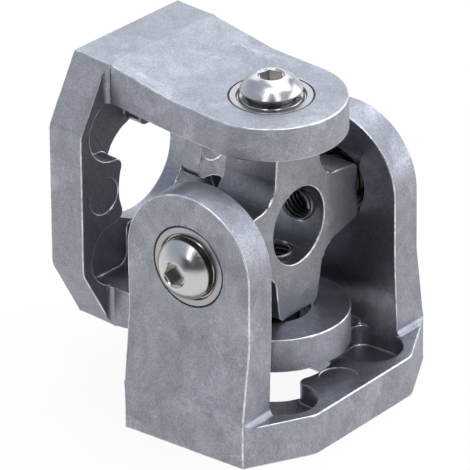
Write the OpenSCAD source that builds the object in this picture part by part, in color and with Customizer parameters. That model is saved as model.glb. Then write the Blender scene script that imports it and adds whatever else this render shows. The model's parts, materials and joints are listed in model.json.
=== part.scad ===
// Steering universal joint.
// Two forked yokes of die-cast metal, set a quarter turn apart, swing on one
// cross block. In each of the four eyes a shielded ball bearing carries the
// cross on a button-head screw. The origin is the centre of the lower yoke's
// mounting face, the lower fork opens along +Z and its pins lie along Y.
// The upper yoke lies over at a right angle, with its base towards -X.

/* [Joint] */
// Height of the joint centre above each yoke's mounting face
pivot_h = 44; // [42:0.5:52]
// Turn of the upper yoke on its own pins, away from straight
upper_turn = -5; // [-12:1:12]

/* [Yoke base] */
// Thickness of the base plate
base_t = 9.8; // [8.4:0.2:11]
// Length of the base, over the feet of the two arms
base_l = 65; // [64:0.5:72]
// Width of the base between its two flat sides
base_w = 50; // [48:0.5:56]
// Length of each flat side, before the base narrows to the arm
side_flat = 34.4; // [30:0.2:38]
// Rounding where the flat side turns towards the arm
corner_r = 5; // [2:0.5:8]

/* [Base opening] */
// Radius of the round hole through the base
bore_r = 13.2; // [12:0.1:14]
// Depth of the four pockets, from the inner face of the base
pocket_depth = 4.9; // [3:0.1:6]
// Width over the pockets, across the flat sides
pocket_w = 44.2; // [42:0.2:45]
// Width of the two tabs that point in from the flat sides
side_tab_w = 15.6; // [13:0.2:17]
// Width of the two tabs that point in from the arms
end_tab_w = 12.4; // [11:0.2:14]
// Rounding at the tip of each tab
tab_r = 2.2; // [1:0.1:2.4]
// Rounding of the pocket beside an arm's tab
pocket_r = 3; // [1.5:0.1:4]
// Radius of the two round ejector marks on the inner face
mark_r = 4.4; // [3:0.1:4.6]
// Depth of the ejector marks
mark_depth = 0.25; // [0.1:0.05:0.4]
// Distance of each ejector mark from the centre of the base
mark_x = 17.9; // [17.7:0.1:18.4]

/* [Yoke arms] */
// Width of an arm at its foot
arm_w = 33; // [31:0.5:35]
// Diameter of the round end of an arm
eye_d = 34; // [33:0.5:37]
// Thickness of an arm at its eye
arm_t = 8; // [7.4:0.1:9]
// Clear width between the eyes of one fork
fork_w = 44; // [43:0.5:46]
// Draft of the fork, the extra half width at the foot
fork_draft = 0.8; // [0.2:0.1:1.2]
// Height of the straight foot on the outside of an arm
foot_h = 10.6; // [9:0.2:13]
// Length of the flat around the eye, down from the joint centre
eye_flat = 14.9; // [13:0.1:17]
// Fillet between the inside of an arm and the base
fork_fillet = 2; // [1:0.1:3]
// Fillet between the side of an arm and the base
side_fillet = 1.5; // [0.8:0.1:2.5]

/* [Bearing] */
// Outer diameter of a bearing
bearing_od = 19; // [18:0.5:20]
// Bore of a bearing, which is also the screw size
bearing_id = 8; // [7:0.5:8.5]
// Width of a bearing
bearing_w = 6; // [5.6:0.1:6.4]
// Diameter of a ball
ball_d = 3.175; // [2.8:0.025:3.3]
// Number of balls in a bearing
ball_count = 7; // [5:1:7]
// Radial thickness of the outer ring at its shoulders
outer_ring_t = 1.75; // [1.5:0.05:1.9]
// Radial thickness of the inner ring at its shoulders
inner_ring_t = 1.5; // [1.2:0.05:1.6]
// Edge chamfer of the rings
ring_chamfer = 0.3; // [0.1:0.05:0.4]
// Sheet thickness of the shields
shield_t = 0.3; // [0.2:0.05:0.35]
// Half height of the ball cage
cage_h = 1.9; // [1.8:0.05:2]
// Radial thickness of the ball cage
cage_t = 1.1; // [0.8:0.05:1.2]

/* [Screw] */
// Length of a screw under its head
screw_l = 16; // [14:0.5:18]
// Diameter of the button head
head_d = 14; // [12.5:0.1:15]
// Height of the button head
head_h = 3.5; // [3.2:0.05:4.2]
// Height of the straight rim of the head
head_rim = 0.3; // [0.2:0.05:0.6]
// Radius of the flat on top of the head
head_flat_r = 3.3; // [3.3:0.05:4]
// Width across the flats of the hexagon socket
hex_af = 5; // [4:0.1:5.2]
// Depth of the hexagon socket
hex_depth = 2.4; // [1.8:0.1:2.8]
// Width of the chamfer round the socket's mouth
hex_chamfer = 0.35; // [0.1:0.05:0.4]
// Chamfer at the tip of the screw
tip_chamfer = 0.8; // [0.3:0.1:1.2]
// Thickness of the washer under the head
washer_t = 1.5; // [1:0.1:2]
// Outer diameter of the washer under the head
washer_d = 10.6; // [10:0.1:10.9]

/* [Cross block] */
// Thickness of the cross block at its middle
cross_t = 14.6; // [13:0.2:16]
// Radius of the round hole through the middle
cross_bore_r = 9; // [7.5:0.1:10]
// Width of a boss at its tip
boss_tip_w = 13.6; // [12.4:0.1:14.4]
// Width of a boss at its root
boss_root_w = 15.8; // [15:0.1:17]
// Radius of the hollow corner between two bosses
corner_hollow_r = 6.2; // [4.5:0.1:7]
// Chamfer on the tip of a boss
boss_chamfer = 1; // [0.4:0.1:1.4]
// Distance from the middle at which the draft of the faces starts
draft_start = 10.5; // [9.5:0.1:14]
// How far the draft lowers each face at the tip
draft_drop = 0.4; // [0.1:0.05:0.6]

/* [Clearances] */
// Radial clearance of a bearing in its eye
seat_fit = 0.01; // [0.005:0.005:0.05]
// Radial clearance of the screw in the inner ring and in its thread
screw_fit = 0.01; // [0.005:0.005:0.05]
// Radial clearance of the screw in the washer and the spacer
washer_fit = 0.2; // [0.05:0.05:0.3]
// Gap between a boss and the inside of an arm
boss_gap = 0.5; // [0.3:0.05:1]
// Radial clearance between a ball and its races
race_gap = 0.05; // [0.02:0.01:0.08]
// Clearance between a ball and its cage
cage_gap = 0.08; // [0.03:0.01:0.12]
// Clearance of a shield's edge in its groove
shield_gap = 0.05; // [0.03:0.01:0.08]
// Radial clearance between a shield and the inner ring
shield_bore_gap = 0.25; // [0.15:0.05:0.35]
// Radial step of the lip that holds a bearing
lip_step = 1.3; // [0.8:0.1:1.7]
// Chamfer round the mouth of an eye
mouth_chamfer = 0.2; // [0.1:0.05:0.3]

/* [Hidden] */
fine = 128;
mid = 64;
over = 1;
// lets two rounds cross at a shallow angle where they would only touch
blend = 0.02;
eye_r = eye_d / 2;
// planes across a fork, measured from the joint centre
arm_in = fork_w / 2;
arm_out = arm_in + arm_t;
root_in = arm_in + fork_draft;
root_out = base_l / 2;
flat_z = pivot_h - eye_flat;
// opening of the base
lobe_r = (root_in - side_tab_w / 2) / 2;
// bearing, measured from the outer face of the eye
mid_z = -bearing_w / 2;
ball_r = ball_d / 2;
race_r = ball_r + race_gap;
inner_or = bearing_id / 2 + inner_ring_t;
outer_ir = bearing_od / 2 - outer_ring_t;
pitch_r = (inner_or + outer_ir) / 2 + 0.125;
lip_t = arm_t - bearing_w;
lip_r = bearing_od / 2 - lip_step;
shield_in = inner_or + shield_bore_gap;
shield_out = outer_ir + 0.15;
shield_face = 0.1;
shield_step = 0.45;
// screw stack
screw_r = bearing_id / 2 - screw_fit;
hole_r = screw_r + washer_fit;
boss_end = arm_in - boss_gap;
spacer_t = lip_t + boss_gap;
hex_r = hex_af / 2 / cos(30);
// depth of the dome's centre, from its rim and its flat top
dome_rise = pow(head_h, 2) - pow(head_rim, 2);
dome_z = (pow(head_d / 2, 2) - pow(head_flat_r, 2) - dome_rise) / (2 * (head_h - head_rim));
dome_r = sqrt(pow(head_d / 2, 2) + pow(head_rim + dome_z, 2));
hollow_c = boss_root_w / 2 + corner_hollow_r;

// each eye: its name, the turn that points its axis outward, its socket's turn
EYES = [
  ["front", [90, 0, 0], 10],
  ["back", [-90, 0, 0], 25],
  ["top", [0, 0, 0], 15],
  ["bottom", [180, 0, 0], 40],
];
PIECES = [
  "screw",
  "head_washer",
  "outer_ring",
  "inner_ring",
  "balls",
  "cage",
  "outer_shield",
  "inner_shield",
  "spacer",
];

// the same shape in all four quadrants
module quadrants() {
  for (mx = [0, 1])
    for (my = [0, 1])
      mirror([mx, 0, 0])
        mirror([0, my, 0])
          children();
}

// turns a profile drawn as radius and height about the Z axis
module turned(facets = fine) {
  rotate_extrude($fn = facets) children();
}

// outline of the base plate
module base_outline() {
  side = base_w / 2;
  run = [arm_w / 2 - side, root_out - side_flat / 2];
  slope = run / norm(run);
  bend = atan2(-run[0], run[1]);
  reach = corner_r * tan(bend / 2);
  corner = [side, side_flat / 2];
  quadrants() {
    polygon([
      [-over, -over],
      [side, -over],
      corner - [0, reach],
      corner + slope * reach,
      [arm_w / 2, root_out],
      [-over, root_out],
    ]);
    translate(corner - [corner_r, reach]) circle(r = corner_r, $fn = mid);
  }
}

// one of the four pockets, between a side tab and an arm's tab
module pocket_outline() {
  side = side_tab_w / 2;
  end = end_tab_w / 2;
  far = pocket_w / 2 - lobe_r;
  polygon([
    [end, side],
    [far, side],
    [far, root_in],
    [end + pocket_r, root_in],
    [end, root_in - pocket_r],
  ]);
  translate([far, side + lobe_r]) circle(r = lobe_r, $fn = mid);
  translate([end + pocket_r, root_in - pocket_r]) circle(r = pocket_r, $fn = mid);
}

// what the rounding takes off the tip of a tab that points along X
module tab_tip(half) {
  out = bore_r + tab_r - blend;
  c = [sqrt(pow(out, 2) - pow(half - tab_r + blend, 2)), half - tab_r + blend];
  edge = sqrt(pow(bore_r, 2) - pow(half, 2));
  difference() {
    polygon([
      c * (bore_r - over / 2) / out,
      c,
      [c[0], half + over / 2],
      [edge - over / 2, half + over / 2],
    ]);
    translate(c) circle(r = tab_r, $fn = mid);
  }
}

// one arm of the fork, on the +Y side
module arm() {
  top = pivot_h + eye_r + over;
  intersection() {
    // front outline, a tapering leg with a round end
    translate([0, root_out + over, 0])
      rotate([90, 0, 0])
        linear_extrude(height = root_out) {
          polygon([
            [-arm_w / 2, 0],
            [arm_w / 2, 0],
            [eye_r, pivot_h],
            [-eye_r, pivot_h],
          ]);
          translate([0, pivot_h]) circle(r = eye_r, $fn = fine);
        }
    // side profile, drafted inside and stepped in outside
    translate([-eye_d / 2 - over, 0, 0])
      rotate([90, 0, 90])
        linear_extrude(height = eye_d + 2 * over)
          polygon([
            [root_in, 0],
            [root_out, 0],
            [root_out, foot_h],
            [arm_out, flat_z],
            [arm_out, top],
            [arm_in, top],
            [arm_in, flat_z],
            [root_in, base_t],
          ]);
  }
}

// quarter-round fillet profile, corner at the origin, open to +X +Y
module fillet_profile(r) {
  difference() {
    translate([-over, -over]) square(r + over);
    translate([r, r]) circle(r = r, $fn = mid);
  }
}

// fillets at the foot of the arm on the +Y side
module arm_fillets() {
  foot_x = arm_w / 2 + (eye_r - arm_w / 2) * base_t / pivot_h;
  // inside, over the width of the tab
  translate([-end_tab_w / 2, root_in, base_t])
    mirror([0, 1, 0])
      rotate([90, 0, 90])
        linear_extrude(height = end_tab_w)
          fillet_profile(fork_fillet);
  // beside the arm, cut to the outline of the base
  intersection() {
    for (m = [0, 1])
      mirror([m, 0, 0])
        translate([foot_x, root_out, base_t])
          rotate([90, 0, 0])
            linear_extrude(height = root_out - root_in)
              fillet_profile(side_fillet);
    linear_extrude(height = base_t + side_fillet) base_outline();
  }
}

// seat, lip hole and mouth chamfer of an eye, axis +Z, outer face at zero
module eye_cut() {
  seat_r = bearing_od / 2 + seat_fit;
  turned()
    polygon([
      [0, over],
      [seat_r + mouth_chamfer, over],
      [seat_r + mouth_chamfer, 0],
      [seat_r, -mouth_chamfer],
      [seat_r, -bearing_w],
      [lip_r, -bearing_w],
      [lip_r, -arm_t - over],
      [0, -arm_t - over],
    ]);
}

// a whole yoke, with its mounting face on Z = 0 and its pins along Y
module yoke() {
  difference() {
    union() {
      linear_extrude(height = base_t) base_outline();
      for (m = [0, 1])
        mirror([0, m, 0]) {
          arm();
          arm_fillets();
        }
    }
    translate([0, 0, -over]) cylinder(r = bore_r, h = base_t + 2 * over, $fn = fine);
    quadrants()
      translate([0, 0, base_t - pocket_depth]) {
        linear_extrude(height = pocket_depth) pocket_outline();
        linear_extrude(height = pocket_depth) tab_tip(side_tab_w / 2);
        // the tabs at the arms lie a quarter turn round
        linear_extrude(height = pocket_depth) mirror([1, -1, 0]) tab_tip(end_tab_w / 2);
      }
    for (m = [0, 1])
      mirror([m, 0, 0])
        translate([mark_x, 0, base_t - mark_depth])
          cylinder(r = mark_r, h = over, $fn = mid);
    for (turn = [90, -90])
      translate([0, 0, pivot_h])
        rotate([turn, 0, 0])
          translate([0, 0, arm_out])
            eye_cut();
  }
}

module lower_yoke() {
  color([0.70, 0.71, 0.73]) yoke();
}

// the second yoke, turned so that its pins are upright
module upper_yoke() {
  color([0.68, 0.70, 0.73])
    translate([0, 0, pivot_h])
      rotate([0, 0, upper_turn])
        rotate(a = 120, v = [1, 1, 1])
          translate([0, 0, -pivot_h])
            yoke();
}

// outline of the cross, seen along the hole
module cross_outline() {
  difference() {
    union() {
      square(2 * hollow_c, center = true);
      for (a = [0:90:270])
        rotate(a)
          polygon([
            [0, boss_root_w / 2],
            [0, -boss_root_w / 2],
            [hollow_c, -boss_root_w / 2],
            [boss_end - boss_chamfer, -boss_tip_w / 2],
            [boss_end, -boss_tip_w / 2 + boss_chamfer],
            [boss_end, boss_tip_w / 2 - boss_chamfer],
            [boss_end - boss_chamfer, boss_tip_w / 2],
            [hollow_c, boss_root_w / 2],
          ]);
    }
    quadrants() translate([hollow_c, hollow_c]) circle(r = corner_hollow_r, $fn = fine);
  }
}

// limits of the front and back faces, drafted towards both tips of a bar
module face_draft() {
  edge = boss_end + over;
  drop = draft_drop * (edge - draft_start) / (boss_end - draft_start);
  half = [
    [-edge, cross_t / 2 - drop],
    [-draft_start, cross_t / 2],
    [draft_start, cross_t / 2],
    [edge, cross_t / 2 - drop],
  ];
  translate([0, 0, -edge])
    linear_extrude(height = 2 * edge)
      polygon(concat(half, -half));
}

module cross_block() {
  color([0.66, 0.68, 0.71])
    translate([0, 0, pivot_h])
      difference() {
        rotate([90, 0, 90])
          intersection() {
            translate([0, 0, -cross_t / 2]) linear_extrude(height = cross_t) cross_outline();
            rotate([90, 0, 0]) face_draft();
            rotate([90, 0, 90]) face_draft();
          }
        rotate([0, 90, 0]) cylinder(r = cross_bore_r, h = cross_t + 2 * over, center = true, $fn = fine);
        for (e = EYES)
          rotate(e[1])
            translate([0, 0, cross_bore_r / 2])
              cylinder(r = bearing_id / 2, h = boss_end, $fn = mid);
      }
}

// places a piece in its eye, drawn with its axis along Z and the arm's face at zero
module at_eye(e) {
  translate([0, 0, pivot_h])
    rotate(e[1])
      translate([0, 0, arm_out])
        children();
}

// button-head screw, its socket turned by the given angle
module screw(turn) {
  mouth_low = hex_r - hex_chamfer / 2;
  mouth_high = hex_r + hex_chamfer * 1.5;
  color([0.82, 0.82, 0.84])
    translate([0, 0, washer_t])
      difference() {
        union() {
          turned()
            intersection() {
              translate([0, -dome_z]) circle(r = dome_r, $fn = fine);
              square([head_d / 2, head_h]);
            }
          turned(mid)
            polygon([
              [0, over / 2],
              [screw_r, over / 2],
              [screw_r, -screw_l + tip_chamfer],
              [screw_r - tip_chamfer, -screw_l],
              [0, -screw_l],
            ]);
        }
        rotate(turn)
          translate([0, 0, head_h - hex_depth])
            cylinder(r = hex_r, h = hex_depth + over, $fn = 6);
        translate([0, 0, head_h - hex_chamfer])
          cylinder(r1 = mouth_low, r2 = mouth_high, h = 2 * hex_chamfer, $fn = mid);
      }
}

// plain ring between two heights
module ring(r_out, r_in, low, high) {
  turned(mid) translate([r_in, low]) square([r_out - r_in, high - low]);
}

module head_washer() {
  color([0.78, 0.78, 0.80]) ring(washer_d / 2, hole_r, 0, washer_t);
}

module spacer() {
  color([0.74, 0.74, 0.76]) ring(inner_or, hole_r, -bearing_w - spacer_t, -bearing_w);
}

// outer ring, with its ball race and a groove for each shield
module outer_ring() {
  r = bearing_od / 2;
  c = ring_chamfer;
  groove = shield_t + 2 * shield_gap;
  first = shield_face + shield_step - shield_gap;
  color([0.80, 0.80, 0.82])
    turned()
      difference() {
        polygon([
          [outer_ir, 0],
          [r - c, 0],
          [r, -c],
          [r, c - bearing_w],
          [r - c, -bearing_w],
          [outer_ir, -bearing_w],
        ]);
        translate([pitch_r, mid_z]) circle(r = race_r, $fn = mid);
        for (z = [-first - groove, first - bearing_w])
          translate([outer_ir - over, z]) square([over + shield_out - outer_ir + shield_gap, groove]);
      }
}

// inner ring, with its ball race
module inner_ring() {
  r = bearing_id / 2;
  c = ring_chamfer / 2;
  color([0.80, 0.80, 0.82])
    turned()
      difference() {
        polygon([
          [r, -c],
          [r + c, 0],
          [inner_or, 0],
          [inner_or, -bearing_w],
          [r + c, -bearing_w],
          [r, c - bearing_w],
        ]);
        translate([pitch_r, mid_z]) circle(r = race_r, $fn = mid);
      }
}

// places for the balls, on the pitch circle
module at_balls() {
  for (i = [0:ball_count - 1])
    rotate(i * 360 / ball_count)
      translate([pitch_r, 0, mid_z])
        children();
}

module balls() {
  color([0.85, 0.85, 0.87]) at_balls() sphere(d = ball_d, $fn = mid);
}

// one-piece cage with a round window for each ball
module cage() {
  color([0.62, 0.55, 0.40])
    difference() {
      ring(pitch_r + cage_t / 2, pitch_r - cage_t / 2, mid_z - cage_h, mid_z + cage_h);
      at_balls()
        rotate([0, 90, 0])
          cylinder(r = ball_r + cage_gap, h = 2 * cage_t, center = true, $fn = mid);
    }
}

// pressed shield, stepped down to the edge that sits in the outer ring
module shield() {
  bend = outer_ir - 0.4;
  low = -shield_face - shield_step;
  color([0.76, 0.76, 0.78])
    turned()
      polygon([
        [shield_in, -shield_face],
        [bend - 0.35, -shield_face],
        [bend, low],
        [shield_out, low],
        [shield_out, low - shield_t],
        [bend - 0.2, low - shield_t],
        [bend - 0.55, -shield_face - shield_t],
        [shield_in, -shield_face - shield_t],
      ]);
}

// the shield on the side of the cross
module inner_shield() {
  translate([0, 0, -bearing_w]) mirror([0, 0, 1]) shield();
}

lower_yoke();
upper_yoke();
cross_block();
for (e = EYES) {
  at_eye(e) screw(e[2]);
  at_eye(e) head_washer();
  at_eye(e) outer_ring();
  at_eye(e) inner_ring();
  at_eye(e) balls();
  at_eye(e) cage();
  at_eye(e) shield();
  at_eye(e) inner_shield();
  at_eye(e) spacer();
}
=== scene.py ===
# %% [markdown]
# # A steering universal joint in die-cast metal
# The part is two forked castings, turned a quarter turn apart, that swing on
# one cross block. Each of the four eyes holds a small ball bearing on a
# polished screw. The frame gives every piece its exact place. This script
# gives the castings their soft, rubbed edges and their mottled grey, adds the
# threads in the cross and dark seams of painted shade around the bearings,
# and lights the whole as in a studio.

# %% Load the frame
import json
import math
import bmesh
import bpy
import numpy as np
from mathutils import Matrix, Vector


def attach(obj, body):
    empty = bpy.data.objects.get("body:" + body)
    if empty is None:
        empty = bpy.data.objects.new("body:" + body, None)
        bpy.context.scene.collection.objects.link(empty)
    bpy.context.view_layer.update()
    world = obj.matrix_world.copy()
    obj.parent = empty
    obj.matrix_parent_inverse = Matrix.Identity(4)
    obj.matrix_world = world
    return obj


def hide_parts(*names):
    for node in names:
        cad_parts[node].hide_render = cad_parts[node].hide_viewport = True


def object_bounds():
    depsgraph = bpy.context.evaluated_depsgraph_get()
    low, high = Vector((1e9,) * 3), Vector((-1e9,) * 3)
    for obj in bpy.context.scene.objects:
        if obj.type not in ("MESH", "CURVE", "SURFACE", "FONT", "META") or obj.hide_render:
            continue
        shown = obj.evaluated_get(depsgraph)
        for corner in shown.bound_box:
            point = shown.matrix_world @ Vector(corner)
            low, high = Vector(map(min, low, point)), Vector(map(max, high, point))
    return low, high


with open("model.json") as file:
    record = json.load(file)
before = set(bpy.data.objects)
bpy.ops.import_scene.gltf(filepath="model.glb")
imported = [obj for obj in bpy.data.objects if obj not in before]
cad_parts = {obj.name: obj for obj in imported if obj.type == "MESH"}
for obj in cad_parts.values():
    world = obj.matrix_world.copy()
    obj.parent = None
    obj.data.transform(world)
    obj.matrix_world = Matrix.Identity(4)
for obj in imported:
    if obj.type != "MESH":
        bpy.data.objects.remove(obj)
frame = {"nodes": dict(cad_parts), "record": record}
cad_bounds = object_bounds()
nodes = frame["nodes"]

# %% [markdown]
# ## The camera
# The photograph was taken from far away with a long lens, so parallel edges
# stay almost parallel. The camera looks at the joint's centre from the front
# right and a little above. A far camera with a very long lens gives the same
# flat perspective, and a small roll levels the picture as the original is.

# %% Place the camera
JOINT = Vector((0.0, 0.0, 0.044))
AZIMUTH = math.radians(38.692)
ELEVATION = math.radians(27.537)
ROLL = math.radians(-0.81)
DISTANCE = 2.6242
SENSOR = 36.0
LENS = 913.9
AIM_RIGHT = -0.008342
AIM_UP = -0.004113

level_right = Vector((math.cos(AZIMUTH), math.sin(AZIMUTH), 0.0))
back = Vector((
    math.sin(AZIMUTH) * math.cos(ELEVATION),
    -math.cos(AZIMUTH) * math.cos(ELEVATION),
    math.sin(ELEVATION),
))
level_up = back.cross(level_right)
right = math.cos(ROLL) * level_right + math.sin(ROLL) * level_up
up = -math.sin(ROLL) * level_right + math.cos(ROLL) * level_up

camera_data = bpy.data.cameras.new("camera")
camera_data.sensor_width = SENSOR
camera_data.lens = LENS
camera_data.clip_start = 0.1
camera_data.clip_end = 20.0
camera = bpy.data.objects.new("camera", camera_data)
bpy.context.scene.collection.objects.link(camera)
turn = Matrix((right, up, back)).transposed().to_4x4()
place = JOINT + back * DISTANCE + right * AIM_RIGHT + up * AIM_UP
camera.matrix_world = Matrix.Translation(place) @ turn
bpy.context.scene.camera = camera
print("camera at", tuple(round(v, 3) for v in place))

# %% [markdown]
# ## Node helpers
# The room, the floor and every finish are built from nodes. One helper adds a
# node and fills its inputs, and another turns a value into colours.

# %% Node helpers
def add(tree, kind, inputs=None, **settings):
    """Adds a node; each input takes a plain value or another node's output."""
    made = tree.nodes.new(kind)
    for key, value in settings.items():
        setattr(made, key, value)
    for key, value in (inputs or {}).items():
        if isinstance(value, bpy.types.NodeSocket):
            tree.links.new(value, made.inputs[key])
        else:
            made.inputs[key].default_value = value
    return made


def ramp(tree, value, *stops):
    """Colours or greys along a value; each stop is a position and a colour."""
    made = add(tree, "ShaderNodeValToRGB", {"Fac": value})
    parts = made.color_ramp.elements
    for i, (position, colour) in enumerate(stops):
        part = parts[i] if i < 2 else parts.new(position)
        part.position = position
        if isinstance(colour, (int, float)):
            colour = (colour, colour, colour)
        part.color = (*colour, 1)
    return made.outputs["Color"]


# %% [markdown]
# ## Light
# Bright metal is only as good as what it mirrors. The object stands on a
# white sweep, in a pale room with soft boxes. The room could be one even
# white, but then every face of the metal would look the same. So it is white
# low down, as the sweep is, and a little darker and cooler high up. On the
# photographer's side the room is dim, which gives the screws their dark
# patches.

# %% World
ROOM = ((0.0, 1.0), (0.50, 0.97), (0.60, 0.72), (0.78, 0.50), (1.0, 0.58))
COOLNESS = 0.20
PHOTOGRAPHER = Vector((math.sin(AZIMUTH), -math.cos(AZIMUTH), 0.0))
DIM_SIDE = PHOTOGRAPHER * 0.94 + Vector((0.0, 0.0, 0.34))
DIM_STARTS, DIM_ENDS, DIMMED = 0.55, 0.90, 0.15


def room_colour(grey):
    """The colour of one level of the room: the darker, the cooler."""
    cool = COOLNESS * (1.0 - grey)
    return (grey * (0.99 - cool), grey, grey * (1.01 + 2.0 * cool))


scene = bpy.context.scene
scene.view_settings.view_transform = "Standard"
world = bpy.data.worlds.new("studio")
scene.world = world
world.use_nodes = True
tree = world.node_tree
tree.nodes.clear()
way = add(tree, "ShaderNodeTexCoord").outputs["Generated"]
split = add(tree, "ShaderNodeSeparateXYZ", {0: way})
height = add(tree, "ShaderNodeMapRange", {
    "Value": split.outputs["Z"], "From Min": -1.0})
levels = [(position, room_colour(grey)) for position, grey in ROOM]
room = ramp(tree, height.outputs["Result"], *levels)
toward = add(tree, "ShaderNodeVectorMath", {
    0: way, 1: DIM_SIDE}, operation="DOT_PRODUCT")
dim = add(tree, "ShaderNodeMapRange", {
    "Value": toward.outputs["Value"], "From Min": DIM_STARTS, "From Max": DIM_ENDS,
    "To Min": 1.0, "To Max": DIMMED}, interpolation_type="SMOOTHSTEP")
air = add(tree, "ShaderNodeBackground", {
    "Color": room, "Strength": dim.outputs["Result"]})
add(tree, "ShaderNodeOutputWorld", {"Surface": air.outputs[0]})
print("room:", len(ROOM), "levels from the floor to the ceiling")

# %% [markdown]
# ## Soft boxes
# A wide box behind gives the top faces their shine, one on the right and one
# above reach into the fork, and two tall ones in front draw the pair of
# bright bands on each screw head. All face the joint.

# %% Soft boxes
def soft_box(name, azimuth, elevation, distance, width, height, radiance):
    """An area lamp of a stated brightness that faces the joint."""
    a = math.radians(azimuth)
    e = math.radians(elevation)
    away = Vector((
        math.sin(a) * math.cos(e), -math.cos(a) * math.cos(e), math.sin(e)))
    data = bpy.data.lights.new(name, "AREA")
    data.shape = "RECTANGLE"
    data.size = width
    data.size_y = height
    data.energy = radiance * math.pi * width * height
    lamp = bpy.data.objects.new(name, data)
    scene.collection.objects.link(lamp)
    lamp.location = JOINT + away * distance
    lamp.rotation_euler = away.to_track_quat("Z", "Y").to_euler()


soft_box("box_behind", 219, 38, 1.0, 1.2, 0.8, 1.0)
soft_box("band_left", 12, 56, 0.9, 0.16, 0.75, 3.6)
soft_box("band_right", 66, 56, 0.9, 0.16, 0.75, 3.6)
soft_box("box_right", 130, 12, 1.2, 1.8, 1.0, 1.5)
soft_box("box_above", 168, 66, 1.0, 1.1, 0.9, 1.7)

# %% [markdown]
# ## Floor
# A large pale sheet lies under the lower yoke. To the camera, and in the
# metal, it is almost pure white, with only a breath of shadow, as on a
# cut-out catalogue picture.

# %% Floor
SPAN = 2.0
FLOOR_GAP = 0.0002
SHEET_GREY = 0.82
GLOW_SHARE = 0.93

floor_mesh = bpy.data.meshes.new("floor")
corners = [(-SPAN, -SPAN, 0), (SPAN, -SPAN, 0), (SPAN, SPAN, 0), (-SPAN, SPAN, 0)]
floor_mesh.from_pydata(corners, [], [(0, 1, 2, 3)])
floor = bpy.data.objects.new("floor", floor_mesh)
scene.collection.objects.link(floor)
floor.location.z = cad_bounds[0][2] - FLOOR_GAP

floor_paint = bpy.data.materials.new("white_floor")
floor_paint.use_nodes = True
tree = floor_paint.node_tree
tree.nodes.clear()
rays = add(tree, "ShaderNodeLightPath").outputs
seen = add(tree, "ShaderNodeMath", {
    0: rays["Is Camera Ray"], 1: rays["Is Glossy Ray"]}, operation="MAXIMUM")
any_seen = add(tree, "ShaderNodeMath", {
    0: seen.outputs[0], 1: rays["Is Transmission Ray"]}, operation="MAXIMUM")
share = add(tree, "ShaderNodeMath", {
    0: any_seen.outputs[0], 1: GLOW_SHARE}, operation="MULTIPLY")
sheet = add(tree, "ShaderNodeBsdfDiffuse", {
    "Color": (SHEET_GREY, SHEET_GREY, SHEET_GREY, 1)})
glow = add(tree, "ShaderNodeEmission", {"Color": (1, 1, 1, 1), "Strength": 1.0})
mix = add(tree, "ShaderNodeMixShader", {
    "Fac": share.outputs[0], 1: sheet.outputs[0], 2: glow.outputs[0]})
add(tree, "ShaderNodeOutputMaterial", {"Surface": mix.outputs[0]})
floor_mesh.materials.append(floor_paint)
print("floor at", round(floor.location.z * 1000, 2), "mm")

# %% [markdown]
# ## Material helpers
# Every finish here is built from the same few nodes: a noise pattern on the
# piece's own coordinates, a ramp that turns it into a colour or a roughness,
# and a bump. Small helpers keep the recipes short enough to read.

# %% Material helpers
def new_finish(name, metallic=1.0):
    """A material with one shader; returns the material, its tree and the shader."""
    material = bpy.data.materials.new(name)
    material.use_nodes = True
    shader = material.node_tree.nodes["Principled BSDF"]
    shader.inputs["Metallic"].default_value = metallic
    return material, material.node_tree, shader


def wire(tree, shader, **sockets):
    """Links outputs to the shader's inputs, such as Base_Color or Normal."""
    for name, socket in sockets.items():
        tree.links.new(socket, shader.inputs[name.replace("_", " ")])


def placed(tree, scale=(1, 1, 1), turn=(0, 0, 0)):
    """The piece's own coordinates, stretched and turned."""
    coords = add(tree, "ShaderNodeTexCoord")
    mapping = add(tree, "ShaderNodeMapping", {
        "Vector": coords.outputs["Object"], "Scale": scale, "Rotation": turn})
    return mapping.outputs["Vector"]


def noise(tree, where, scale, detail, rough, warp=0.0):
    """A noise pattern, as a value from 0 to 1."""
    made = add(tree, "ShaderNodeTexNoise", {
        "Vector": where, "Scale": scale, "Detail": detail,
        "Roughness": rough, "Distortion": warp})
    return made.outputs["Fac"]


def darkened(tree, colour, by, share):
    """A colour multiplied by a grey, by a share of its full strength."""
    made = add(tree, "ShaderNodeMix", {
        "Factor": share, "A": colour, "B": by}, data_type="RGBA", blend_type="MULTIPLY")
    return made.outputs["Result"]


def bumped(tree, height, distance, strength, under=None):
    """A bump from a height value, on top of another bump if there is one."""
    made = add(tree, "ShaderNodeBump", {
        "Height": height, "Distance": distance, "Strength": strength})
    if under is not None:
        tree.links.new(under, made.inputs["Normal"])
    return made.outputs["Normal"]


# %% [markdown]
# ## Die-cast metal
# The castings are satin grey with a cool tint. Metal that chilled at uneven
# speed leaves cloudy flow marks a few millimetres wide, and handling leaves
# fine bright scuffs. Both are slight, so the colour moves only a little, and
# the roughness moves with it, which shows best where the light grazes.

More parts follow.
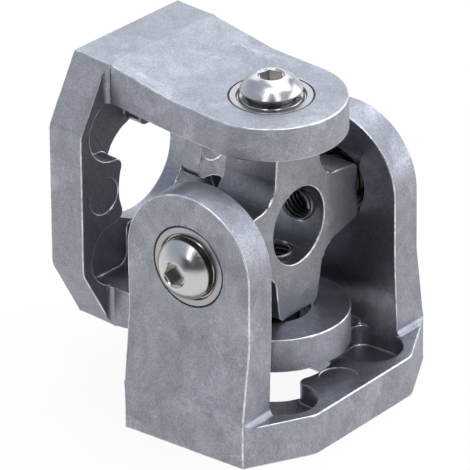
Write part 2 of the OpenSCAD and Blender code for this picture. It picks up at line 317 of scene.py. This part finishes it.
# %% Casting finish
def cast_metal(name, base, flow_turn, depth):
    """Satin die-cast metal with cloudy flow marks of a given depth.

    Over the flow marks lie fine pits and a few pale scuffs with clear edges.
    """
    material, tree, shader = new_finish(name)
    plain = placed(tree)
    flow = placed(tree, scale=(1.0, 1.0, 0.7), turn=flow_turn)
    clouds = noise(tree, flow, scale=150.0, detail=8.0, rough=0.72, warp=0.6)
    specks = noise(tree, plain, scale=2300.0, detail=3.0, rough=0.7)
    broad = noise(tree, plain, scale=34.0, detail=2.0, rough=0.5)
    scuffs = noise(tree, plain, scale=75.0, detail=9.0, rough=0.68, warp=0.8)

    dark = tuple(c * (1.0 - depth) for c in base)
    light = tuple(c * (1.0 + 0.8 * depth) for c in base)
    colour = ramp(tree, clouds, (0.34, dark), (0.66, light))
    pits = ramp(tree, specks, (0.38, 0.66), (0.62, 1.0))
    wide = ramp(tree, broad, (0.32, 0.88), (0.68, 1.0))
    pale = ramp(tree, scuffs, (0.57, 0.85), (0.595, 1.0))
    for grey, share in ((pits, 0.8), (wide, 0.9), (pale, 1.0)):
        colour = darkened(tree, colour, grey, share)

    rough = ramp(tree, clouds, (0.32, 0.50), (0.68, 0.34))
    soft = bumped(tree, clouds, distance=0.0003, strength=0.2)
    fine = bumped(tree, specks, distance=0.00006, strength=0.4, under=soft)
    wire(tree, shader, Base_Color=colour, Roughness=rough, Normal=fine)
    return material


CAST_GREY = (0.445, 0.457, 0.509)
CROSS_GREY = (0.385, 0.397, 0.425)
AS_POURED = (0.0, 0.0, 0.0)
ON_END = (0.0, math.radians(90), 0.0)
lower_metal = cast_metal("lower_casting_finish", CAST_GREY, AS_POURED, 0.18)
upper_metal = cast_metal("upper_casting_finish", CAST_GREY, ON_END, 0.12)
cross_metal = cast_metal("cross_casting_finish", CROSS_GREY, AS_POURED, 0.14)
print("castings:", lower_metal.name, upper_metal.name, cross_metal.name)

# %% [markdown]
# ## Rubbed edges
# The outer edges of a casting are touched most, in the tumbler and in the
# hand, so their soft rounding is brighter and smoother than the faces. The
# rubbing isn't even: it comes and goes along an edge.

# %% Edge finish
BARE = 0.80
UNRUBBED, RUBBED = 0.36, 0.60

edge_metal, tree, shader = new_finish("rubbed_casting_edge")
rubs = noise(tree, placed(tree), scale=420.0, detail=5.0, rough=0.7)
wire(tree, shader,
     Base_Color=ramp(tree, rubs, (UNRUBBED, CAST_GREY), (RUBBED, BARE)),
     Roughness=ramp(tree, rubs, (UNRUBBED, 0.42), (RUBBED, 0.26)),
     Normal=bumped(tree, rubs, distance=0.0001, strength=0.5))
print("edges:", edge_metal.name)

# %% [markdown]
# ## Bright steel
# The screws are polished almost to a mirror, the bearing rings are ground,
# and the washers and shields are turned or pressed sheet. They differ in
# colour, in roughness and in how fine their marks are. The washer and the
# spacer are made very dark: painted shade under the screw heads.

# %% Steel finishes
STEELS = (
    # slot, name, colour, roughness from and to, marks per metre
    ("screw", "polished_screw", (0.60, 0.58, 0.57), 0.15, 0.26, 900.0),
    # The washer's dark grey is painted shade under the screw heads.
    ("washer", "washer_painted_shade", (0.30, 0.29, 0.29), 0.26, 0.38, 1500.0),
    ("bearing_steel", "ground_ring", (0.42, 0.41, 0.42), 0.26, 0.38, 1300.0),
    ("balls", "polished_ball", (0.80, 0.80, 0.80), 0.05, 0.09, 900.0),
    ("cage", "cage_steel", (0.50, 0.48, 0.44), 0.28, 0.40, 1200.0),
    ("shield", "pressed_shield", (0.46, 0.44, 0.43), 0.18, 0.28, 1400.0),
    # The spacer's near black is painted shade under the screw heads.
    ("spacer", "spacer_painted_shade", (0.10, 0.10, 0.10), 0.30, 0.42, 1500.0),
)


def bright_steel(name, colour, low, high, mark_scale):
    """Bright steel whose roughness wanders between two values."""
    material, tree, shader = new_finish(name)
    marks = noise(tree, placed(tree), scale=mark_scale, detail=4.0, rough=0.6)
    shade = tuple(c * 0.93 for c in colour)
    wire(tree, shader,
         Base_Color=ramp(tree, marks, (0.3, shade), (0.7, colour)),
         Roughness=ramp(tree, marks, (0.3, low), (0.7, high)),
         Normal=bumped(tree, marks, distance=0.00003, strength=0.15))
    return material


finishes = {slot: bright_steel(*recipe) for slot, *recipe in STEELS}
print("steels:", [finish.name for finish in finishes.values()])

# %% [markdown]
# ## Lathe rings
# The screw heads carry the fine rings of a lathe, which stretch their shine
# into two bright bands. The rings run around the screw's own pin. The lower
# yoke's pins lie along Y and the upper yoke's along Z, so the longer of the
# two distances from the joint's centre tells the pin.

# %% Lathe rings
STRETCH = 0.75
PIN_Y = (0.0, 1.0, 0.0)
PIN_Z = (0.0, 0.0, 1.0)

tree = finishes["screw"].node_tree
where = add(tree, "ShaderNodeTexCoord").outputs["Object"]
away = add(tree, "ShaderNodeVectorMath", {0: where, 1: JOINT}, operation="SUBTRACT")
size = add(tree, "ShaderNodeVectorMath", {
    0: away.outputs["Vector"]}, operation="ABSOLUTE")
parts = add(tree, "ShaderNodeSeparateXYZ", {"Vector": size.outputs["Vector"]})
along_y = add(tree, "ShaderNodeMath", {
    0: parts.outputs["Y"], 1: parts.outputs["Z"]}, operation="GREATER_THAN")
pin = add(tree, "ShaderNodeMix", {
    "A": PIN_Z, "B": PIN_Y, "Factor": along_y.outputs["Value"]}, data_type="VECTOR")
around = add(tree, "ShaderNodeVectorMath", {
    0: pin.outputs[1], 1: away.outputs["Vector"]}, operation="CROSS_PRODUCT")
shader = tree.nodes["Principled BSDF"]
shader.inputs["Anisotropic"].default_value = STRETCH
wire(tree, shader, Tangent=around.outputs["Vector"])
print("rings on:", finishes["screw"].name)

# %% [markdown]
# ## Paint the nodes
# Each node of the frame names a material slot. The finish of that slot goes
# onto the node.

# %% Paint the nodes
finishes["lower_casting"] = lower_metal
finishes["upper_casting"] = upper_metal
finishes["cross_casting"] = cross_metal
slots = {part["node"]: part["material_slot"] for part in frame["record"]["subparts"]}
for name, node in nodes.items():
    finish = finishes[slots[name]]
    if node.material_slots:
        for holder in node.material_slots:
            holder.material = finish
    else:
        node.data.materials.append(finish)
print("painted:", len(nodes), "nodes in", len(finishes), "finishes")

# %% [markdown]
# ## Soften the castings
# A die-cast part has no knife edges: every edge carries a small rounding of
# about a quarter millimetre. The frame's solids have sharp edges, so each
# casting gets a rounded copy that stands for it. Three steps prepare the
# copy. First its flat faces are joined, so that the rounding meets clean
# edges. Then long edges are cut into short lengths, so that the rounding can
# differ along them.

# %% Clean mesh
HARD = math.radians(34)
SLIVER = math.radians(8)
FLAT = math.radians(0.5)
SAME_POINT = 2e-6
TINY = 0.00011
LENGTH = 0.0015


def hard(edge):
    """Whether an edge is sharp enough to be rounded."""
    return edge.is_manifold and edge.calc_face_angle(0.0) > HARD


def join_flat(work):
    """Merges the mesh, joins flat faces, and closes tiny ledges and slivers."""
    def join():
        bmesh.ops.dissolve_limit(
            work, angle_limit=FLAT, verts=work.verts, edges=work.edges)

    bmesh.ops.remove_doubles(work, verts=work.verts, dist=SAME_POINT)
    join()
    inward = {}
    for edge in work.edges:
        if edge.calc_length() < TINY:
            inner, outer = sorted(edge.verts, key=lambda v: (v.co - JOINT).length)
            inward[outer] = inner
    bmesh.ops.weld_verts(work, targetmap=inward)
    join()
    slivers = []
    for face in work.faces:
        for corner in face.loops:
            pair = (corner.edge, corner.link_loop_prev.edge)
            soft = [edge for edge in pair if not hard(edge)]
            narrow = corner.calc_angle() < SLIVER
            if narrow and len(soft) == 1 and soft[0] not in slivers:
                slivers += soft
    bmesh.ops.dissolve_edges(work, edges=slivers)


def cut_edges(work):
    """Cuts the sharp edges into lengths of at most LENGTH."""
    for edge in [edge for edge in work.edges if hard(edge)]:
        start = edge.verts[0]
        for left in range(int(edge.calc_length() // LENGTH), 0, -1):
            other, cut = bmesh.utils.edge_split(edge, start, 1.0 / (left + 1))
            edge = other if start in edge.verts else edge
            start = cut
    work.normal_update()


# %% [markdown]
# ## Room for the rounding
# The third step gives each length as much rounding as fits. Where two edges
# come close, as at the tip of a fillet, the rounding tapers off instead of
# running into its neighbour. The room is measured in each face beside the
# edge, at three points along it, to every other edge that lies ahead.

# %% Room for the rounding
ROUND = 0.00028
ROOM_TO_SHARP = 2.3
ROOM_TO_SOFT = 1.15
AHEAD = 0.35
LEAST_SHARE = 0.2
TOUCHING = 1e-9


def share_of_round(face, width):
    """For each sharp edge of a face, how much of the rounding has room."""
    loops = list(face.loops)
    starts = np.array([loop.vert.co[:] for loop in loops])
    along = np.roll(starts, -1, axis=0) - starts
    lengths = np.linalg.norm(along, axis=1)
    unit = along / np.maximum(lengths, 1e-12)[:, None]
    inward = np.cross(np.array(face.normal[:]), unit)
    sharp = np.array([hard(loop.edge) for loop in loops])
    need = np.where(sharp, ROOM_TO_SHARP, ROOM_TO_SOFT) * width
    shares = {}
    for i in np.flatnonzero(sharp):
        share = 1.0
        for part in (0.1, 0.5, 0.9):
            point = starts[i] + along[i] * part
            reach = np.clip(((point - starts) * unit).sum(1), 0.0, lengths)
            gap = starts + unit * reach[:, None] - point
            distance = np.linalg.norm(gap, axis=1)
            facing = (gap * inward[i]).sum(1) > AHEAD * distance
            facing &= distance > TOUCHING
            facing[i] = False
            if facing.any():
                share = min(share, float((distance[facing] / need[facing]).min()))
        shares[loops[i].edge] = share
    return shares


def prepared_mesh(name, width):
    """A clean copy of a node's mesh with the rounding of each edge marked."""
    mesh = nodes[name].data.copy()
    work = bmesh.new()
    work.from_mesh(mesh)
    mark = work.edges.layers.float.new("bevel_weight_edge")
    join_flat(work)
    cut_edges(work)
    room = {}
    for face in work.faces:
        for edge, share in share_of_round(face, width).items():
            room[edge] = min(room.get(edge, 1.0), share)
    for edge in work.edges:
        share = room.get(edge, 0.0)
        edge[mark] = share if share > LEAST_SHARE else 0.0
    work.to_mesh(mesh)
    work.free()
    print(name, "edges to round:", len(room))
    return mesh


# %% [markdown]
# ## Rounded copies
# The rounding takes a second material, which is the rubbed edge. Then the
# large faces are made to shade flat, and the rounding alone bends the light.

# %% Rounded copies
CREASE = math.radians(14)
ROUND_STEPS = 3
FACE_WEIGHT = 100
held = frame["record"]["behaviour"]["bodies"]
body_of_node = {node: body for body, members in held.items() for node in members}


def plain_mesh(piece):
    """The piece's mesh with its modifiers worked into it."""
    ready = piece.evaluated_get(bpy.context.evaluated_depsgraph_get())
    mesh = bpy.data.meshes.new_from_object(ready)
    piece.modifiers.clear()
    piece.data = mesh
    return mesh


def stand_in(name, mesh, finish):
    """Puts a mesh in the place of a node, with its finish on the faces."""
    while len(mesh.materials) < 2:
        mesh.materials.append(None)
    mesh.materials[0] = finish
    mesh.materials[1] = edge_metal
    piece = bpy.data.objects.new(name + "_soft", mesh)
    scene.collection.objects.link(piece)
    return piece


def hand_over(piece, name):
    """Says which body the piece rides, and which node it stands for."""
    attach(piece, body_of_node[name])
    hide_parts(name)


def softened(name, finish, width):
    """A copy of a casting with rounded, rubbed edges; it replaces the node."""
    mesh = prepared_mesh(name, width)
    mesh.shade_smooth()
    mesh.set_sharp_from_angle(angle=CREASE)
    piece = stand_in(name, mesh, finish)
    rounding = piece.modifiers.new("rounding", "BEVEL")
    rounding.width = width
    rounding.segments = ROUND_STEPS
    rounding.limit_method = "WEIGHT"
    rounding.use_clamp_overlap = False
    rounding.material = 1
    facing = piece.modifiers.new("facing", "WEIGHTED_NORMAL")
    facing.weight = FACE_WEIGHT
    facing.keep_sharp = True
    print(name, "rounded:", len(plain_mesh(piece).polygons), "faces")
    hand_over(piece, name)
    return piece


lower_soft = softened("lower_yoke", lower_metal, ROUND)
softened("cross_block", cross_metal, ROUND)

# %% [markdown]
# ## The second yoke
# The two yokes come from one mould, so one rounded mesh serves both: the
# upper one is the lower one turned a quarter turn twice about the joint, and
# swung by the few degrees that the joint stands at. Its lowest corner has to
# lie where the frame's upper yoke has it, but for the rounding.

# %% The second yoke
SWING = math.radians(-5)
quarter_turns = Matrix(((0, 0, 1), (1, 0, 0), (0, 1, 0))).to_4x4()
to_upper = (Matrix.Translation(JOINT) @ Matrix.Rotation(SWING, 4, "Z")
            @ quarter_turns @ Matrix.Translation(-JOINT))
upper_mesh = lower_soft.data.copy()
upper_mesh.transform(to_upper)
upper_soft = stand_in("upper_yoke", upper_mesh, upper_metal)
hand_over(upper_soft, "upper_yoke")


def lowest_corner(mesh):
    """The lower corner of the box around a mesh."""
    return np.array([v.co[:] for v in mesh.vertices]).min(0).round(5)


print("upper yoke, lowest corner:", lowest_corner(nodes["upper_yoke"].data),
      "rounded:", lowest_corner(upper_mesh))

# %% [markdown]
# ## Node trees
# Some details repeat or follow a path. Each is drawn by a node tree: a small
# outline follows a curve, and the result is set on points around the joint,
# facing outward from its centre. The trees share the same two ends, so these
# are made once here.

# %% Tree helpers
class Recipe:
    """A node tree with named inputs that ends in real, painted geometry."""

    def __init__(self, name, *labels):
        self.tree = bpy.data.node_groups.new(name, "GeometryNodeTree")
        self.socket = {}
        kinds = {"Geometry": "NodeSocketGeometry", "Metal": "NodeSocketMaterial"}
        kinds.update((label, "NodeSocketFloat") for label in labels)
        for label, kind in kinds.items():
            item = self.tree.interface.new_socket(
                label, in_out="INPUT", socket_type=kind)
            self.socket[label] = item.identifier
        self.tree.interface.new_socket(
            "Geometry", in_out="OUTPUT", socket_type="NodeSocketGeometry")
        self.given = self.node("NodeGroupInput")

    def node(self, kind, inputs=None, **settings):
        """Adds a node to this tree."""
        return add(self.tree, kind, inputs, **settings)

    def finish(self, shape):
        """Sets the shape on every given point, facing outward, and paints it."""
        where = self.node("GeometryNodeInputPosition")
        outward = self.node("ShaderNodeVectorMath", {
            0: where.outputs[0], 1: JOINT}, operation="SUBTRACT")
        aim = self.node("FunctionNodeAlignRotationToVector", {
            "Vector": outward.outputs[0]}, axis="Z")
        put = self.node("GeometryNodeInstanceOnPoints", {
            "Points": self.given.outputs["Geometry"], "Instance": shape,
            "Rotation": aim.outputs[0]})
        real = self.node("GeometryNodeRealizeInstances", {"Geometry": put.outputs[0]})
        paint = self.node("GeometryNodeSetMaterial", {
            "Geometry": real.outputs[0], "Material": self.given.outputs["Metal"]})
        self.node("NodeGroupOutput", {"Geometry": paint.outputs[0]})

    def make(self, name, points, metal, rides_with, **numbers):
        """Runs the tree on some points; the piece rides with a node's body."""
        mesh = bpy.data.meshes.new(name)
        mesh.from_pydata(points, [], [])
        piece = bpy.data.objects.new(name, mesh)
        scene.collection.objects.link(piece)
        modifier = piece.modifiers.new("recipe", "NODES")
        modifier.node_group = self.tree
        modifier[self.socket["Metal"]] = metal
        for label, value in numbers.items():
            modifier[self.socket[label]] = value
        made = plain_mesh(piece)
        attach(piece, body_of_node[rides_with])
        print(name, "faces:", len(made.polygons))


# %% [markdown]
# ## Threads
# The four bosses of the cross are tapped, and the threads show inside the
# cross's round hole, beyond the tips of the screws. A small triangle follows
# a spiral along each tapped hole.

# %% Threads
MAJOR = 0.004
CREST = 0.0034
TOOTH = (MAJOR - CREST) * 0.9
PITCH = 0.00125
HOLE_WALL = 0.0076
SCREW_TIP = 0.0156
STEPS_PER_TURN = 32
LOWER_PINS = ((0, 1, 0), (0, -1, 0))
UPPER_PINS = ((0, 0, 1), (0, 0, -1))


def along_pins(pins, distance):
    """Points on the pins, at a distance from the joint's centre."""
    return [JOINT + Vector(pin) * distance for pin in pins]


thread = Recipe("thread", "Pitch", "Length")
pitch, length = thread.given.outputs["Pitch"], thread.given.outputs["Length"]
turns = thread.node("ShaderNodeMath", {0: length, 1: pitch}, operation="DIVIDE")
spiral = thread.node("GeometryNodeCurveSpiral", {
    "Resolution": STEPS_PER_TURN, "Start Radius": MAJOR, "End Radius": MAJOR,
    "Rotations": turns.outputs[0], "Height": length})
upright = thread.node("GeometryNodeSetCurveNormal", {
    "Curve": spiral.outputs["Curve"]}, mode="Z_UP")
tooth = thread.node("GeometryNodeCurvePrimitiveCircle", {
    "Resolution": 3, "Radius": TOOTH}, mode="RADIUS")
wound = thread.node("GeometryNodeCurveToMesh", {
    "Curve": upright.outputs["Curve"], "Profile Curve": tooth.outputs["Curve"],
    "Fill Caps": True})
thread.finish(wound.outputs["Mesh"])
thread.make(
    "cross_threads", along_pins(LOWER_PINS + UPPER_PINS, HOLE_WALL),
    cross_metal, "cross_block", Pitch=PITCH, Length=SCREW_TIP - HOLE_WALL)

# %% [markdown]
# ## Painted shade in the seams
# The seams where metal meets metal are painted near black: painted shade. The
# paint is a little glossier where it is darkest, so the roughness wanders
# with the colour.

# %% Painted seam shade
# The two colours of the painted shade in the seams.
DARKEST_SEAM_SHADE = (0.012, 0.012, 0.014)
LIGHTEST_SEAM_SHADE = (0.05, 0.048, 0.048)

seam_shade, tree, shader = new_finish("painted_seam_shade", metallic=0.0)
spots = noise(tree, placed(tree), scale=1400.0, detail=3.0, rough=0.6)
wire(tree, shader,
     Base_Color=ramp(tree, spots, (0.3, DARKEST_SEAM_SHADE), (0.7, LIGHTEST_SEAM_SHADE)),
     Roughness=ramp(tree, spots, (0.3, 0.35), (0.7, 0.6)))
print("grime:", seam_shade.name)

# %% [markdown]
# ## Dark seams
# Shade fills the gap where the bearing meets the arm, and the one where its
# shield meets the ring. So two thin circles of painted shade run around each
# screw. A fine dark bead follows each circle, sunk a little below the face of
# the eye.

# %% Seams around the bearings
EYE_FACE = 0.030
SUNK = 0.00007
SEAM_WIDTH = 0.00013
SEAM_RADII = {"seat": 0.00952, "shield": 0.00782}
CIRCLE_STEPS = 96
BEAD_SIDES = 6

seam = Recipe("seam", "Radius", "Width")
path = seam.node("GeometryNodeCurvePrimitiveCircle", {
    "Resolution": CIRCLE_STEPS, "Radius": seam.given.outputs["Radius"]}, mode="RADIUS")
bead = seam.node("GeometryNodeCurvePrimitiveCircle", {
    "Resolution": BEAD_SIDES, "Radius": seam.given.outputs["Width"]}, mode="RADIUS")
laid = seam.node("GeometryNodeCurveToMesh", {
    "Curve": path.outputs["Curve"], "Profile Curve": bead.outputs["Curve"]})
seam.finish(laid.outputs["Mesh"])
# Each circle is a bead of painted shade.
for label, radius in SEAM_RADII.items():
    for yoke, pins in (("lower_yoke", LOWER_PINS), ("upper_yoke", UPPER_PINS)):
        seam.make(
            f"{label}_seams_{yoke}", along_pins(pins, EYE_FACE - SUNK),
            seam_shade, yoke, Radius=radius, Width=SEAM_WIDTH)
